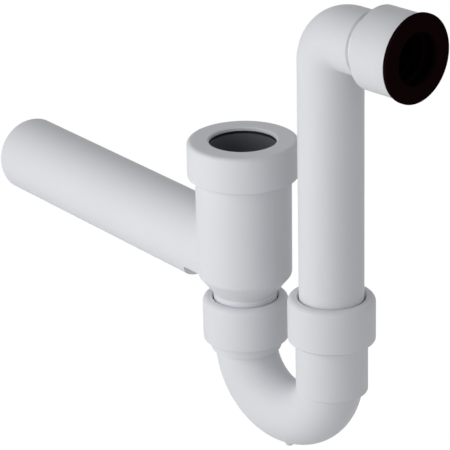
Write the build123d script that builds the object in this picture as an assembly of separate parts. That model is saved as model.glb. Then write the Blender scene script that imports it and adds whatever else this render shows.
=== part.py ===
from build123d import *
import os
from math import sqrt

# Condensate trap of light grey plastic: a vertical body with a long horizontal outlet pipe, a U bend
# pushed on the body's spigot from below, and an inlet pipe with an elbow pushed into the bend's other leg.
# Millimetres, +Z up. The origin is the centre of the outlet pipe's open end, and the pipe runs along +X.

# Walls and fits
WALL = 2.0              # wall of the pipes, the body and the bend
PIPE_PLAY = 0.35        # radial play of a pipe in the bore that guides it
LIP_PLAY = 0.08         # running clearance of a seal's lips round a pipe
SEAL_PLAY = 0.3         # room round a lip seal in its groove
EDGE_ROUND = 0.8        # small rounding of moulded edges

# Pipes
OUTLET_R = 25.0         # outside radius of the outlet pipe
OUTLET_LENGTH = 240.0   # from the open end to the body's axis
OUTLET_LEAD = 2.4       # length of the bevel at the open end
LEAD_DEPTH = 1.0        # how far each pipe's lead-in bevel cuts into its wall
PIPE_R = 20.0           # outside radius of the inlet pipe and of the body's spigot
PIPE_LEAD = 2.0         # length of the bevel at the end of those two

# Body
BODY_R = 30.0           # outside radius under the ring
BODY_TAPER = 0.4        # how much smaller that radius is at the foot
CONE_Z = -21.2          # foot of the cone, where the spigot starts
CONE_HEIGHT = 12.1      # from there up to the body's wall
CONE_FOOT_ROUND = 2.0   # hollow rounding between the cone and the spigot
CONE_ROUND = 4.0        # rounding between the wall and the cone
FLOOR_Z = -10.5         # underside of the outlet's raised floor, next to the body
RAMP_REACH = 45.1       # from the body's axis to the foot of the ramp up to that floor
RAMP_RUN = 11.7         # length of the ramp along the pipe
RUN_DRAFT = 0.4         # how much the pipe's radius grows from the ramp's foot to the body's axis
JUNCTION_ROUND = 1.5    # fillet between the outlet pipe and the body's wall

# Ring round the body's upper inlet
RING_R = 34.75
RING_TOP_Z = 79.5
RING_HEIGHT = 23.0
RING_ROUND = 2.8        # rounding of the outer upper edge
RING_WALL = 3.5
RING_LIP = 2.3          # thickness of the face over the rubber
TOP_MOUTH_R = 21.1
TOP_MOUTH_ROUND = 0.8
TOP_FLANGE = 6.0        # thickness of the rubber's flange
TOP_SEAT_R = 26.5       # bore that the rubber's sleeve passes
TOP_GAP = 2.1           # between the ring's face and the rubber's inner lip
TOP_RIM = 0.4           # width of that lip's edge
TOP_RIM_FOOT = 1.0      # thickness of the lip at its foot
TOP_GROOVE_R = 28.0     # outside radius of the groove behind the lip
TOP_GROOVE = 4.6        # depth of the groove's floor under the ring's face

# Rubber connectors
RUBBER_WALL = 2.6
TOP_BORE_R = 21.4
TOP_SLEEVE = 28.0       # length of the sleeve under the flange
TOP_LIP_R = 19.0
ELBOW_BORE_R = 16.0
ELBOW_FLANGE_R = 26.9
ELBOW_FLANGE = 3.0      # thickness of the flange in front of the elbow's socket
SLEEVE_GAP = 3.2        # between the sleeve's end and the cone of the elbow's socket
ELBOW_LIPS = 2          # lips of the elbow's connector, besides the one at its sleeve's end
LIP_SQUEEZE = 0.8       # how much smaller a lip's radius is than the pipe that goes in

# U bend
LEG_SPACING = 75.0      # between the two legs' axes
BEND_Z = -56.0          # where the straight legs end and the half turn starts
BEND_R = 19.5           # outside radius of the bent pipe
SOCKET_R = 27.0
SOCKET_HEIGHT = 28.0
SOCKET_ROUND = 3.6      # rounding of the socket's upper edge
MOUTH_PLAY = 0.7        # play of a pipe in the socket's mouth
MOUTH_ROUND = 0.9       # rounding of the mouth's inner edge
MOUTH_LIP = 3.2         # thickness of the mouth over the seal's groove
SOCKET_BASE = 4.0       # thickness under the groove
NECK_WALL = 1.9
BODY_SOCKET_Z = -24.8   # top of the socket round the body's spigot
INLET_SOCKET_Z = -2.6   # top of the socket round the inlet pipe
BODY_NECK_Z = -59.8     # lower edge of the neck under the first socket
INLET_NECK_Z = -64.9    # lower edge of the long neck under the second
BODY_STOP_RISE = 2.0    # inner step that the spigot stops short of, above the half turn
SPIGOT_GAP = 3.0        # between the spigot's end and that step
INLET_STOP_RISE = 3.9   # inner step of the long neck above its lower edge
INLET_LIFT = 16.0       # between the inlet pipe's end and that step
GATE_R = 3.2            # foot of the moulding's trimmed gate under the half turn
GATE_TIP_R = 2.3
GATE_HEIGHT = 4.0
SWIVEL = 6.5            # turn of the bend about the body's axis, in degrees

# Inlet pipe and elbow
ELBOW_Z = 165.5         # height of the elbow's horizontal axis over the outlet's axis
ELBOW_TURN_R = 17.5     # radius of the elbow's centre line
ELBOW_SOCKET_R = 25.5
ELBOW_REACH = 69.0      # from the inlet pipe's axis to the rubber flange's face
ELBOW_SOCKET = 26.7     # length of the socket's straight wall
ELBOW_CONE = 6.1        # length of the cone before it
WAIST_R = 18.8          # radius of the shallow waist between the elbow and the cone
WAIST_FLOOR = 1.4       # width of its floor
WAIST_SLOPE = 0.9       # length of the slope down to it from the elbow
WAIST_WALL = 1.6        # wall inside the waist

# Seal in each socket of the bend
SEAL_BACK = 1.6         # gap between the seal's back and the pipe
LIP_COUNT = 3
LIP_ROOT = 3.2          # height of a lip where it leaves the seal's back
LIP_TIP = 0.9           # height of its tip

# Sizes that follow
CUT = 1.0               # how far a cutting solid runs past what it cuts
OUTLET_BORE_R = OUTLET_R - WALL
PIPE_BORE_R = PIPE_R - WALL
BEND_BORE_R = BEND_R - WALL
GUIDE_R = PIPE_R + PIPE_PLAY
NECK_R = GUIDE_R + NECK_WALL
MOUTH_R = PIPE_R + MOUTH_PLAY
GROOVE_R = SOCKET_R - WALL
GROOVE_HEIGHT = SOCKET_HEIGHT - MOUTH_LIP - SOCKET_BASE
BODY_STOP_Z = BEND_Z + BODY_STOP_RISE
INLET_STOP_Z = INLET_NECK_Z + INLET_STOP_RISE
SPIGOT_END_Z = BODY_STOP_Z + SPIGOT_GAP
INLET_END_Z = INLET_STOP_Z + INLET_LIFT
RAMP_X = OUTLET_LENGTH - RAMP_REACH
RAMP_RISE = OUTLET_R + FLOOR_Z
RAMP_SHIFT = WALL * sqrt(RAMP_RUN**2 + RAMP_RISE**2) / RAMP_RISE
RING_FOOT_Z = RING_TOP_Z - RING_HEIGHT
BODY_FOOT_R = BODY_R - BODY_TAPER
CONE_TOP_Z = CONE_Z + CONE_HEIGHT
CONE_RISE = BODY_FOOT_R - PIPE_R
TOP_FLANGE_R = RING_R - RING_WALL
TOP_FLANGE_Z = RING_TOP_Z - RING_LIP
TOP_SEAT_Z = TOP_FLANGE_Z - TOP_FLANGE
ELBOW_SOCKET_END = ELBOW_REACH - ELBOW_FLANGE
ELBOW_CONE_END = ELBOW_SOCKET_END - ELBOW_SOCKET
ELBOW_CONE_START = ELBOW_CONE_END - ELBOW_CONE
ELBOW_CONE_RISE = ELBOW_SOCKET_R - WAIST_R
ELBOW_CONE_SHIFT = WALL * sqrt(ELBOW_CONE**2 + ELBOW_CONE_RISE**2) / ELBOW_CONE_RISE
WAIST_END = ELBOW_CONE_START - WAIST_FLOOR
WAIST_START = WAIST_END - WAIST_SLOPE
THROAT_R = WAIST_R - WAIST_WALL
THROAT_START = WAIST_START - CUT
ELBOW_BORE_WALL_R = ELBOW_SOCKET_R - WALL

BODY_AXIS = Pos(OUTLET_LENGTH, 0, 0)
BEND_PLACE = BODY_AXIS * Rot(0, 0, SWIVEL)
INLET_PLACE = BEND_PLACE * Pos(LEG_SPACING, 0, 0)
ELBOW_PLACE = INLET_PLACE * Pos(0, 0, ELBOW_Z) * Rot(0, 90, 0)


def turned(*corners):
    """Solid of revolution about Z. A corner is a radius, a height and, where it isn't sharp, a rounding."""
    points = [(corner[0], corner[1]) for corner in corners]
    roundings = [corner[2] if len(corner) > 2 else 0.0 for corner in corners]
    outline = FilletPolyline(*points, radius=roundings, close=True)
    return revolve(Plane.XZ * make_face(outline), Axis.Z)


def rod(radius, low, high):
    """Plain upright cylinder between two heights."""
    return Pos(0, 0, low) * Cylinder(radius, high - low, align=(Align.CENTER, Align.CENTER, Align.MIN))


def lying_rod(radius, start, end):
    """Plain cylinder along +X between two distances."""
    return Rot(0, 90, 0) * rod(radius, start, end)


def over_ramp(foot_x, floor_z):
    """Everything above the outlet's raised floor and its ramp, whose lowest point is at foot_x."""
    slope = RAMP_RUN / RAMP_RISE
    reach = 2 * OUTLET_R
    side = Polyline(
        (-CUT, reach), (-CUT, -reach), (foot_x + slope * (OUTLET_R - reach), -reach),
        (foot_x + slope * (OUTLET_R + floor_z), floor_z), (OUTLET_LENGTH + CUT, floor_z),
        (OUTLET_LENGTH + CUT, reach), close=True)
    return extrude(Plane.XZ * make_face(side), amount=reach, both=True)


def outlet_pipe():
    """Outside of the outlet: a round pipe, and a ramp up to the raised floor that leads into the body."""
    pipe = Rot(0, 90, 0) * turned(
        (0, 0), (OUTLET_R - LEAD_DEPTH, 0), (OUTLET_R, OUTLET_LEAD), (OUTLET_R, RAMP_X),
        (OUTLET_R + RUN_DRAFT, OUTLET_LENGTH), (0, OUTLET_LENGTH))
    return pipe & over_ramp(RAMP_X, FLOOR_Z)


def outlet_bore():
    """Waterway through the outlet, up the ramp, over the raised floor and into the body."""
    return lying_rod(OUTLET_BORE_R, -CUT, OUTLET_LENGTH) & over_ramp(RAMP_X - RAMP_SHIFT, FLOOR_Z + WALL)


def body_shell():
    """Outside of the vertical body: ring, wall, cone and spigot."""
    return BODY_AXIS * turned(
        (0, SPIGOT_END_Z), (PIPE_R - LEAD_DEPTH, SPIGOT_END_Z), (PIPE_R, SPIGOT_END_Z + PIPE_LEAD),
        (PIPE_R, CONE_Z, CONE_FOOT_ROUND), (BODY_FOOT_R, CONE_TOP_Z, CONE_ROUND), (BODY_R, RING_FOOT_Z),
        (RING_R, RING_FOOT_Z, EDGE_ROUND), (RING_R, RING_TOP_Z, RING_ROUND), (0, RING_TOP_Z))


def body_bore():
    """Waterway down the body, with the seat, groove and mouth of the rubber at its top."""
    cone_step = WALL * (sqrt(CONE_RISE**2 + CONE_HEIGHT**2) - CONE_HEIGHT) / CONE_RISE
    chamber_r = BODY_FOOT_R - WALL
    chamber_z = CONE_Z + cone_step + (chamber_r - PIPE_BORE_R) * CONE_HEIGHT / CONE_RISE
    return BODY_AXIS * turned(
        (0, SPIGOT_END_Z - CUT), (PIPE_BORE_R, SPIGOT_END_Z - CUT), (PIPE_BORE_R, CONE_Z + cone_step),
        (chamber_r, chamber_z), (BODY_R - WALL, RING_FOOT_Z), (TOP_SEAT_R, RING_FOOT_Z + WALL),
        (TOP_SEAT_R, TOP_SEAT_Z), (TOP_FLANGE_R, TOP_SEAT_Z), (TOP_FLANGE_R, TOP_FLANGE_Z),
        (TOP_MOUTH_R, TOP_FLANGE_Z), (TOP_MOUTH_R, RING_TOP_Z - TOP_MOUTH_ROUND),
        (TOP_MOUTH_R + TOP_MOUTH_ROUND, RING_TOP_Z), (TOP_MOUTH_R + TOP_MOUTH_ROUND, RING_TOP_Z + CUT),
        (0, RING_TOP_Z + CUT))


def outlet_body():
    """The body with its outlet pipe, one moulding."""
    shell = body_shell() + outlet_pipe()
    junction = shell.edges().filter_by(GeomType.BSPLINE).sort_by(SortBy.LENGTH)[-1]
    return fillet(junction, JUNCTION_ROUND) - body_bore() - outlet_bore()


def half_turn(radius):
    """The U bend's half turn, hanging from the two legs."""
    start = Pos(0, 0, BEND_Z) * Circle(radius)
    middle = Axis((LEG_SPACING / 2, 0, BEND_Z), (0, -1, 0))
    return revolve(start, middle, 180)


def socket_shell(top_z, neck_z):
    """Outside of a socket and the neck under it."""
    foot_z = top_z - SOCKET_HEIGHT
    return turned(
        (0, neck_z), (NECK_R, neck_z, EDGE_ROUND), (NECK_R, foot_z), (SOCKET_R, foot_z, EDGE_ROUND),
        (SOCKET_R, top_z, SOCKET_ROUND), (0, top_z))


def socket_bore(top_z, stop_z):
    """Inside of a socket: mouth, groove of the seal and guide bore down to the stop."""
    groove_top = top_z - MOUTH_LIP
    groove_foot = groove_top - GROOVE_HEIGHT
    return turned(
        (0, stop_z), (GUIDE_R, stop_z), (GUIDE_R, groove_foot), (GROOVE_R, groove_foot),
        (GROOVE_R, groove_top), (MOUTH_R, groove_top), (MOUTH_R, top_z - MOUTH_ROUND),
        (MOUTH_R + MOUTH_ROUND, top_z), (MOUTH_R + MOUTH_ROUND, top_z + CUT), (0, top_z + CUT))


def trap_bend():
    """The U bend with its two sockets, one moulding."""
    inlet_leg = Pos(LEG_SPACING, 0, 0)
    shell = half_turn(BEND_R)
    shell += socket_shell(BODY_SOCKET_Z, BODY_NECK_Z)
    shell += inlet_leg * socket_shell(INLET_SOCKET_Z, INLET_NECK_Z)
    lowest_z = BEND_Z - LEG_SPACING / 2 - BEND_R
    gate_z = lowest_z - GATE_HEIGHT
    gate_top_z = lowest_z + WALL
    shell += Pos(LEG_SPACING / 2, 0, 0) * turned(
        (0, gate_z), (GATE_TIP_R, gate_z), (GATE_R, lowest_z), (GATE_R, gate_top_z), (0, gate_top_z))
    shell -= half_turn(BEND_BORE_R)
    shell -= rod(BEND_BORE_R, BEND_Z, BODY_STOP_Z + CUT)
    shell -= socket_bore(BODY_SOCKET_Z, BODY_STOP_Z)
    shell -= inlet_leg * socket_bore(INLET_SOCKET_Z, INLET_STOP_Z)
    return BEND_PLACE * shell


def elbow_run(radius, low, end):
    """Upright pipe, quarter turn and level pipe. The turn is tighter than the pipe, so it has a crease."""
    corner_z = ELBOW_Z - ELBOW_TURN_R
    upright = rod(radius, low, corner_z)
    level = Pos(0, 0, ELBOW_Z) * lying_rod(radius, ELBOW_TURN_R, end)
    outer_side = Pos(ELBOW_TURN_R, 0) * Rectangle(
        4 * radius, 4 * radius, align=(Align.MAX, Align.CENTER))
    section = Pos(0, 0, corner_z) * (Circle(radius) & outer_side)
    corner = revolve(section, Axis((ELBOW_TURN_R, 0, corner_z), (0, 1, 0)), 90)
    return upright + corner + level


def inlet_pipe():
    """Inlet pipe, elbow and the socket of the rubber connector, one moulding."""
    lead = turned(
        (0, INLET_END_Z), (PIPE_R - LEAD_DEPTH, INLET_END_Z), (PIPE_R, INLET_END_Z + PIPE_LEAD),
        (0, INLET_END_Z + PIPE_LEAD))
    socket = Pos(0, 0, ELBOW_Z) * Rot(0, 90, 0) * turned(
        (0, WAIST_START), (PIPE_R, WAIST_START), (WAIST_R, WAIST_END), (WAIST_R, ELBOW_CONE_START),
        (ELBOW_SOCKET_R, ELBOW_CONE_END), (ELBOW_SOCKET_R, ELBOW_SOCKET_END), (0, ELBOW_SOCKET_END))
    shell = elbow_run(PIPE_R, INLET_END_Z + PIPE_LEAD, WAIST_START) + lead + socket
    slope = ELBOW_CONE / ELBOW_CONE_RISE
    cone_start = ELBOW_CONE_START + ELBOW_CONE_SHIFT
    throat_end = cone_start - slope * (WAIST_R - THROAT_R)
    cone_end = cone_start + slope * (ELBOW_BORE_WALL_R - WAIST_R)
    cavity = Pos(0, 0, ELBOW_Z) * Rot(0, 90, 0) * turned(
        (0, THROAT_START), (THROAT_R, THROAT_START), (THROAT_R, throat_end), (ELBOW_BORE_WALL_R, cone_end),
        (ELBOW_BORE_WALL_R, ELBOW_SOCKET_END + CUT), (0, ELBOW_SOCKET_END + CUT))
    waterway = elbow_run(PIPE_BORE_R, INLET_END_Z - CUT, THROAT_START) + cavity
    return INLET_PLACE * (shell - waterway)


def lip_seal(top_z):
    """Rubber ring in a socket's groove, with lips that bear on the pipe."""
    high = top_z - MOUTH_LIP - SEAL_PLAY
    low = high - (GROOVE_HEIGHT - 2 * SEAL_PLAY)
    back_r = PIPE_R + SEAL_BACK
    tip_r = PIPE_R + LIP_PLAY
    pitch = (high - low) / LIP_COUNT
    outer_r = GROOVE_R - SEAL_PLAY
    corners = [(outer_r, low, EDGE_ROUND), (outer_r, high, EDGE_ROUND), (back_r, high)]
    for number in range(LIP_COUNT):
        middle = high - (number + 0.5) * pitch
        corners += [
            (back_r, middle + LIP_ROOT / 2), (tip_r, middle + LIP_TIP / 2),
            (tip_r, middle - LIP_TIP / 2), (back_r, middle - LIP_ROOT / 2)]
    corners.append((back_r, low))
    return turned(*corners)


def elbow_connector():
    """Rubber connector in the elbow's socket: flange, sleeve and the lips round the pipe that goes in."""
    inner_r = ELBOW_BORE_WALL_R - RUBBER_WALL
    lip_r = ELBOW_BORE_R - LIP_SQUEEZE
    low = ELBOW_CONE_END + SLEEVE_GAP
    pitch = (ELBOW_SOCKET_END - low) / (ELBOW_LIPS + 1)
    corners = [
        (ELBOW_BORE_R, ELBOW_SOCKET_END), (ELBOW_BORE_R, ELBOW_REACH, EDGE_ROUND),
        (ELBOW_FLANGE_R, ELBOW_REACH, EDGE_ROUND), (ELBOW_FLANGE_R, ELBOW_SOCKET_END, EDGE_ROUND),
        (ELBOW_BORE_WALL_R, ELBOW_SOCKET_END), (ELBOW_BORE_WALL_R, low), (lip_r, low),
        (inner_r, low + LIP_ROOT)]
    for number in range(ELBOW_LIPS):
        middle = low + (number + 1) * pitch
        corners += [(inner_r, middle - LIP_ROOT / 2), (lip_r, middle), (inner_r, middle + LIP_ROOT / 2)]
    corners.append((inner_r, ELBOW_SOCKET_END))
    return ELBOW_PLACE * turned(*corners)


def top_connector():
    """Rubber connector under the ring's face: a grooved flange and a sleeve with a lip at its foot."""
    foot_z = TOP_SEAT_Z - TOP_SLEEVE
    sleeve_r = TOP_BORE_R + RUBBER_WALL
    rim_z = TOP_FLANGE_Z - TOP_GAP
    groove_z = TOP_FLANGE_Z - TOP_GROOVE
    return BODY_AXIS * turned(
        (TOP_BORE_R, rim_z), (TOP_BORE_R + TOP_RIM, rim_z), (TOP_BORE_R + TOP_RIM_FOOT, groove_z),
        (TOP_GROOVE_R, groove_z), (TOP_GROOVE_R, TOP_FLANGE_Z), (TOP_FLANGE_R, TOP_FLANGE_Z),
        (TOP_FLANGE_R, TOP_SEAT_Z),
        (sleeve_r, TOP_SEAT_Z), (sleeve_r, foot_z), (TOP_LIP_R, foot_z), (TOP_BORE_R, foot_z + LIP_ROOT))


def save(node, solid):
    """Write one sub-part as a STEP file named after its node."""
    solid.label = node
    export_step(solid, f"parts/{node}.step")


os.makedirs("parts", exist_ok=True)
save("outlet_body", outlet_body())
save("trap_bend", trap_bend())
save("inlet_pipe", inlet_pipe())
save("body_socket_seal", BEND_PLACE * lip_seal(BODY_SOCKET_Z))
save("inlet_socket_seal", INLET_PLACE * lip_seal(INLET_SOCKET_Z))
save("elbow_connector", elbow_connector())
save("top_connector", top_connector())
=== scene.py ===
"""Condensate trap: finish of its plastic mouldings and rubber connectors, camera, floor and soft light.

Everything is in metres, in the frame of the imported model: the origin is the centre of the outlet pipe's open
end, the pipe runs along +X, and +Z is up along the body's axis.
"""

import bpy
import numpy as np
from mathutils import Matrix, Vector


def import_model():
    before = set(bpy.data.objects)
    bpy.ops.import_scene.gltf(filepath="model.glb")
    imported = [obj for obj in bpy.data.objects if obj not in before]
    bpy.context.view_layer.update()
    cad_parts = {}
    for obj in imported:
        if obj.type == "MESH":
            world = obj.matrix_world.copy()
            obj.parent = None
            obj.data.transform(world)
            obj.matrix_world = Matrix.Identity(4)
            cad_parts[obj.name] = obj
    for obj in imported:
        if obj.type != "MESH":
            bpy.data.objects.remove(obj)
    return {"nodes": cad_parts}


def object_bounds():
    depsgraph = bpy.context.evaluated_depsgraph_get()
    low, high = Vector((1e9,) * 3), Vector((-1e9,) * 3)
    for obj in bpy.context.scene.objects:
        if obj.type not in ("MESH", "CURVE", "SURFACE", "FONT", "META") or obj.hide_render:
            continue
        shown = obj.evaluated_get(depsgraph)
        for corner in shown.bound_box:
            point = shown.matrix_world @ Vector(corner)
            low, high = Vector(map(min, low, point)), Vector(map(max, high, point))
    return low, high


bl_info = {
    "name": "Condensate trap",
    "version": (1, 0, 0),
    "blender": (4, 5, 0),
    "location": "View3D > Sidebar > Trap",
    "description": "Finishes the condensate trap's mouldings and rubber, and sets its stage",
    "category": "Object",
}

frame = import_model()
CAD_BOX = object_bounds()

PLASTIC_NODES = ("outlet_body", "trap_bend", "inlet_pipe")
BLACK_RUBBER_NODES = ("elbow_connector", "body_socket_seal", "inlet_socket_seal")
GREY_RUBBER_NODES = ("top_connector",)

# Plastic of the mouldings
PLASTIC_REFRACTION = 1.31       # low, because the gloss is faint
CLOUD_SCALE = 18.0              # faint clouds of tone, per metre
CLOUD_DETAIL = 3.0
CLOUD_SHADE = 0.965             # tone of the darkest cloud, as a share of the colour
GRAIN_DETAIL = 2.0
GRAIN_BUMP = 0.6
GRAIN_SPREAD = 0.06             # how much the roughness varies with the grain

# Rubber
RUBBER_REFRACTION = 1.45
RUBBER_GRAIN_SCALE = 2200.0     # grains per metre
RUBBER_GRAIN_HEIGHT = 0.00001
RUBBER_GRAIN_BUMP = 0.5
BLOOM_SCALE = 60.0              # patches of dusty bloom, per metre
BLOOM_DETAIL = 4.0
BLOOM_TINT = 1.25               # tone of the bloom, as a share of the colour
SHEEN_ROUGHNESS = 0.4
BLACK_SHINE = 0.0
BLACK_SHEEN = 0.0
GREY_SHINE = 0.4
GREY_SHEEN = 0.1

# Camera of the photo, solved from the object's outlines
CAMERA_EYE = Vector((1.4938, -0.9681, 0.6840))
CAMERA_RIGHT = Vector((0.61134, 0.79114, -0.01900))
CAMERA_UP = Vector((-0.29419, 0.24949, 0.92261))
CAMERA_LENS = 220.74            # millimetres, as the sensor's width is
SENSOR_WIDTH = 36.0
CAMERA_REACH = 20.0

# Floor and fill light
WHITE = (1.0, 1.0, 1.0, 1.0)
FLOOR_COLOUR = (0.86, 0.86, 0.86, 1.0)
FLOOR_REACH = 6.0               # from the origin to the floor's edges
FLOOR_LEVEL = 0.31              # tone of the open floor far from the key light, which is shown as white
FILL_RISE = 0.1                 # angle of the fill light over the horizon
FILL_DISTANCE = 1.5

# Places of a Mix node's colour sockets, which share their names with its other sockets
MIX_FACTOR = 0
MIX_FIRST = 6
MIX_SECOND = 7
MIX_RESULT = 2


class Socket:
    """A shader value that Python's operators can work on. Each operator adds the Math node that does it."""

    def __init__(self, tree, output):
        self.tree = tree
        self.output = output

    def math(self, operation, other):
        node = self.tree.nodes.new("ShaderNodeMath")
        node.operation = operation
        for place, value in enumerate((self, other)):
            if isinstance(value, Socket):
                self.tree.links.new(value.output, node.inputs[place])
            else:
                node.inputs[place].default_value = value
        return Socket(self.tree, node.outputs[0])

    def __add__(self, other):
        return self.math("ADD", other)

    __radd__ = __add__

    def __mul__(self, other):
        return self.math("MULTIPLY", other)

    __rmul__ = __mul__

    def __rsub__(self, other):
        return self * -1.0 + other

    def clamped(self):
        return self.math("MAXIMUM", 0.0).math("MINIMUM", 1.0)


class Nodes:
    """A node tree, with one method that adds any node."""

    def __init__(self, tree):
        self.tree = tree
        self.tree.nodes.clear()

    def add(self, kind, settings=(), numbered=(), **named):
        """One node: its settings first, then the values or links of its sockets, by number or by name.

        A name has _ for a space.
        """
        node = self.tree.nodes.new(kind)
        for name, value in dict(settings).items():
            setattr(node, name, value)
        sockets = [(node.inputs[number], value) for number, value in dict(numbered).items()]
        sockets += [(node.inputs[name.replace("_", " ")], value) for name, value in named.items()]
        for socket, value in sockets:
            if isinstance(value, Socket):
                self.tree.links.new(value.output, socket)
            else:
                socket.default_value = value
        return node

    def out(self, node, name=0):
        return Socket(self.tree, node.outputs[name])

    def direct_rays(self):
        """1 for the rays of the camera, of gloss and of glass, and 0 for those that carry light."""
        path = self.add("ShaderNodeLightPath")
        seen = self.out(path, "Is Camera Ray") + self.out(path, "Is Glossy Ray")
        return (seen + self.out(path, "Is Transmission Ray")).clamped()


class Finish(Nodes):
    """A material and its nodes."""

    def __init__(self, name):
        self.material = bpy.data.materials.new(name)
        self.material.use_nodes = True
        super().__init__(self.material.node_tree)

    def surface(self, shader):
        """Make the shader the material's surface."""
        self.add("ShaderNodeOutputMaterial", Surface=self.out(shader))
        return self.material

    def place(self):
        return self.out(self.add("ShaderNodeTexCoord"), "Object")

    def noise(self, place, scale, detail):
        return self.out(self.add("ShaderNodeTexNoise", Vector=place, Scale=scale, Detail=detail), "Fac")

    def mix(self, factor, first, second):
        """Colour between two colours."""
        values = {MIX_FACTOR: factor, MIX_FIRST: first, MIX_SECOND: second}
        return self.out(self.add("ShaderNodeMix", {"data_type": "RGBA"}, values), MIX_RESULT)


def linear(red, green, blue):
    """Linear colour of a colour written as 0 to 255 values, by the usual curve of screens."""
    values = np.array((red, green, blue)) / 255.0
    low = values / 12.92
    high = ((values + 0.055) / 1.055) ** 2.4
    return (*np.where(values <= 0.04045, low, high).tolist(), 1.0)


def tinted(colour, share):
    """The colour with its channels multiplied by the share."""
    return [channel * share for channel in colour[:3]] + [1.0]


class PlasticSettings(bpy.types.PropertyGroup):
    colour: bpy.props.FloatVectorProperty(
        name="Colour", description="Light grey of the mouldings", subtype="COLOR", size=4, min=0.0, max=1.0,
        default=linear(223, 225, 229))
    roughness: bpy.props.FloatProperty(
        name="Roughness", description="How matte the mouldings are", default=0.52, min=0.0, max=1.0)
    grain_size: bpy.props.FloatProperty(
        name="Grain size", description="Width of one grain of the mould's spark-eroded surface",
        default=0.0006, min=0.0001, unit="LENGTH")
    grain_height: bpy.props.FloatProperty(
        name="Grain height", description="Height of that grain", default=0.00001, min=0.0, unit="LENGTH")


class RubberSettings(bpy.types.PropertyGroup):
    black: bpy.props.FloatVectorProperty(
        name="Black", description="Rubber of the elbow's connector and the seals", subtype="COLOR", size=4,
        min=0.0, max=1.0, default=(0.0070, 0.0024, 0.0029, 1.0))
    grey: bpy.props.FloatVectorProperty(
        name="Grey", description="Rubber inside the ring", subtype="COLOR", size=4, min=0.0, max=1.0,
        default=(0.105, 0.110, 0.124, 1.0))
    roughness: bpy.props.FloatProperty(
        name="Roughness", description="How matte the rubber is", default=0.6, min=0.0, max=1.0)


class StageSettings(bpy.types.PropertyGroup):
    world: bpy.props.FloatProperty(
        name="World", description="Light from all round", default=0.312, min=0.0)
    key: bpy.props.FloatProperty(
        name="Key", description="Strength of the low soft light from the left front", default=2.43, min=0.0)
    key_distance: bpy.props.FloatProperty(
        name="Key distance", description="From the object's middle to the key light", default=0.8, min=0.1,
        unit="LENGTH")
    key_softness: bpy.props.FloatProperty(
        name="Key softness", description="Angle that the key light covers", default=1.05, min=0.0,
        subtype="ANGLE")
    key_bearing: bpy.props.FloatProperty(
        name="Key bearing", description="Bearing of the key light, from +X towards +Y", default=-1.63,
        subtype="ANGLE")
    key_rise: bpy.props.FloatProperty(
        name="Key rise", description="Angle of the key light over the horizon", default=0.22, subtype="ANGLE")
    fill: bpy.props.FloatProperty(
        name="Fill", description="Strength of the weak light from the right", default=0.5, min=0.0)
    fill_bearing: bpy.props.FloatProperty(
        name="Fill bearing", description="Bearing of the fill light, from +X towards +Y", default=0.4,
        subtype="ANGLE")
    floor_glow: bpy.props.FloatProperty(
        name="Floor glow", description="Light that the floor gives back from the studio's lamps",
        default=0.01, min=0.0)
    floor_drop: bpy.props.FloatProperty(
        name="Floor drop", description="From the object's lowest point down to the floor", default=0.06,
        min=0.0, unit="LENGTH")
    floor_shadow: bpy.props.FloatProperty(
        name="Floor shadow", description="Share of its real tone that the floor shows to the camera",
        default=0.2, min=0.0, max=0.9)


def plastic():
    """Matte light grey plastic: a fine even grain, and a faint cloudiness of tone."""
    settings = bpy.context.scene.trap_plastic
    finish = Finish("light_grey_plastic")
    place = finish.place()
    cloud = finish.noise(place, CLOUD_SCALE, CLOUD_DETAIL)
    grain = finish.noise(place, 1.0 / settings.grain_size, GRAIN_DETAIL)
    colour = finish.mix(cloud, tinted(settings.colour, CLOUD_SHADE), settings.colour)
    roughness = grain * GRAIN_SPREAD + (settings.roughness - GRAIN_SPREAD / 2.0)
    bump = finish.add(
        "ShaderNodeBump", Height=grain, Distance=settings.grain_height, Strength=GRAIN_BUMP)
    shader = finish.add(
        "ShaderNodeBsdfPrincipled", Base_Color=colour, Roughness=roughness, IOR=PLASTIC_REFRACTION,
        Normal=finish.out(bump))
    return finish.surface(shader)


def rubber(name, colour, shine, sheen):
    """Soft matte rubber with a fine grain and a dusty bloom that lifts its tone in patches."""
    settings = bpy.context.scene.trap_rubber
    finish = Finish(name)
    place = finish.place()
    bloom = finish.noise(place, BLOOM_SCALE, BLOOM_DETAIL)
    grain = finish.noise(place, RUBBER_GRAIN_SCALE, GRAIN_DETAIL)
    bump = finish.add(
        "ShaderNodeBump", Height=grain, Distance=RUBBER_GRAIN_HEIGHT, Strength=RUBBER_GRAIN_BUMP)
    shader = finish.add(
        "ShaderNodeBsdfPrincipled", Base_Color=finish.mix(bloom, colour, tinted(colour, BLOOM_TINT)),
        Roughness=settings.roughness, IOR=RUBBER_REFRACTION, Specular_IOR_Level=shine, Sheen_Weight=sheen,
        Sheen_Roughness=SHEEN_ROUGHNESS, Normal=finish.out(bump))
    return finish.surface(shader)


def give(nodes, material):
    """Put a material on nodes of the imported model."""
    for node in nodes:
        mesh = frame["nodes"][node].data
        mesh.materials.clear()
        mesh.materials.append(material)


class TRAP_OT_mouldings(bpy.types.Operator):
    """Finish the body, the bend and the inlet pipe"""

    bl_idname = "trap.mouldings"
    bl_label = "Mouldings"

    def execute(self, context):
        give(PLASTIC_NODES, plastic())
        return {"FINISHED"}


class TRAP_OT_rubbers(bpy.types.Operator):
    """Finish the rubber connectors and the hidden seals"""

    bl_idname = "trap.rubbers"
    bl_label = "Rubber pieces"

    def execute(self, context):
        settings = context.scene.trap_rubber
        give(BLACK_RUBBER_NODES, rubber("black_rubber", settings.black, BLACK_SHINE, BLACK_SHEEN))
        give(GREY_RUBBER_NODES, rubber("grey_rubber", settings.grey, GREY_SHINE, GREY_SHEEN))
        return {"FINISHED"}


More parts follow.
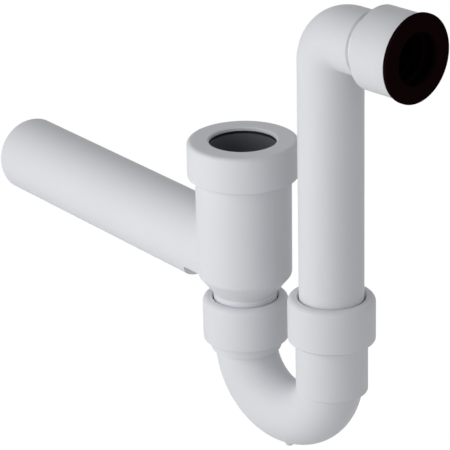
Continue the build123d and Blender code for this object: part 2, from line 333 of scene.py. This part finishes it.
def camera():
    """The photo's camera, squared up from its right and up directions."""
    right = CAMERA_RIGHT.normalized()
    back = right.cross(CAMERA_UP).normalized()
    up = back.cross(right)
    data = bpy.data.cameras.new("camera")
    data.sensor_width = SENSOR_WIDTH
    data.lens = CAMERA_LENS
    data.clip_end = CAMERA_REACH
    obj = bpy.data.objects.new("camera", data)
    columns = Matrix((right, up, back)).transposed()
    obj.matrix_world = Matrix.Translation(CAMERA_EYE) @ columns.to_4x4()
    bpy.context.collection.objects.link(obj)
    bpy.context.scene.camera = obj


def world(level):
    """Even light of the given level, seen as white by the camera and in reflections."""
    studio = bpy.data.worlds.new("studio")
    studio.use_nodes = True
    bpy.context.scene.world = studio
    nodes = Nodes(studio.node_tree)
    seen = nodes.direct_rays()
    background = nodes.add("ShaderNodeBackground", Color=WHITE, Strength=seen + (1.0 - seen) * level)
    nodes.add("ShaderNodeOutputWorld", Surface=nodes.out(background))


def soft_light(name, strength, softness, bearing, rise, distance):
    """A broad round light that faces the object's middle, at a bearing measured from +X towards +Y.

    Its strength is the light that falls on a surface there, as a sun lamp's is.
    """
    data = bpy.data.lights.new(name, "AREA")
    data.shape = "DISK"
    data.size = 2.0 * distance * np.tan(softness / 2.0)
    data.energy = strength * np.pi * distance ** 2
    obj = bpy.data.objects.new(name, data)
    towards = Vector((np.cos(bearing) * np.cos(rise), np.sin(bearing) * np.cos(rise), np.sin(rise)))
    middle = (CAD_BOX[0] + CAD_BOX[1]) / 2.0
    obj.location = middle + towards * distance
    obj.rotation_euler = towards.to_track_quat("Z", "Y").to_euler()
    bpy.context.collection.objects.link(obj)


def floor(drop, glow, shadow):
    """Pale floor. The camera sees a share of its real tone, lifted so that the open floor is white.

    By the object the floor is lighter than that, even in the object's soft shadow, which clips to white.
    """
    height = CAD_BOX[0][2] - drop
    corners = np.array([(-1, -1), (1, -1), (1, 1), (-1, 1)]) * FLOOR_REACH
    mesh = bpy.data.meshes.new("floor")
    mesh.from_pydata([(x, y, height) for x, y in corners], [], [(0, 1, 2, 3)])
    obj = bpy.data.objects.new("floor", mesh)
    bpy.context.collection.objects.link(obj)
    finish = Finish("floor")
    lift = (1.0 - shadow * FLOOR_LEVEL) / (1.0 - shadow)
    pale = finish.add("ShaderNodeBsdfDiffuse", Color=FLOOR_COLOUR)
    bounce = finish.add("ShaderNodeEmission", Color=WHITE, Strength=glow)
    white = finish.add("ShaderNodeEmission", Color=WHITE, Strength=lift)
    lit = finish.add("ShaderNodeAddShader", numbered={0: finish.out(pale), 1: finish.out(bounce)})
    seen = finish.direct_rays() * (1.0 - shadow)
    mix = finish.add("ShaderNodeMixShader", numbered={0: seen, 1: finish.out(lit), 2: finish.out(white)})
    mesh.materials.append(finish.surface(mix))


class TRAP_OT_stage(bpy.types.Operator):
    """Camera, floor and light"""

    bl_idname = "trap.stage"
    bl_label = "Stage"

    def execute(self, context):
        settings = context.scene.trap_stage
        context.scene.view_settings.view_transform = "Standard"
        camera()
        world(settings.world)
        soft_light("key", settings.key, settings.key_softness, settings.key_bearing, settings.key_rise,
                   settings.key_distance)
        soft_light("fill", settings.fill, settings.key_softness, settings.fill_bearing, FILL_RISE,
                   FILL_DISTANCE)
        floor(settings.floor_drop, settings.floor_glow, settings.floor_shadow)
        return {"FINISHED"}


OPERATORS = (TRAP_OT_mouldings, TRAP_OT_rubbers, TRAP_OT_stage)


class TRAP_PT_panel(bpy.types.Panel):
    """Colours, finishes and steps of the condensate trap"""

    bl_idname = "TRAP_PT_panel"
    bl_label = "Condensate trap"
    bl_space_type = "VIEW_3D"
    bl_region_type = "UI"
    bl_category = "Trap"

    def draw(self, context):
        for group in (context.scene.trap_plastic, context.scene.trap_rubber, context.scene.trap_stage):
            box = self.layout.box()
            for name in group.bl_rna.properties.keys():
                if name not in {"rna_type", "name"}:
                    box.prop(group, name)
        for operator in OPERATORS:
            self.layout.operator(operator.bl_idname)


CLASSES = (PlasticSettings, RubberSettings, StageSettings, *OPERATORS, TRAP_PT_panel)


def register():
    for item in CLASSES:
        bpy.utils.register_class(item)
    bpy.types.Scene.trap_plastic = bpy.props.PointerProperty(type=PlasticSettings)
    bpy.types.Scene.trap_rubber = bpy.props.PointerProperty(type=RubberSettings)
    bpy.types.Scene.trap_stage = bpy.props.PointerProperty(type=StageSettings)


def unregister():
    del bpy.types.Scene.trap_stage
    del bpy.types.Scene.trap_rubber
    del bpy.types.Scene.trap_plastic
    for item in reversed(CLASSES):
        bpy.utils.unregister_class(item)


def main():
    register()
    bpy.ops.trap.mouldings()
    bpy.ops.trap.rubbers()
    bpy.ops.trap.stage()


if __name__ == "__main__":
    main()
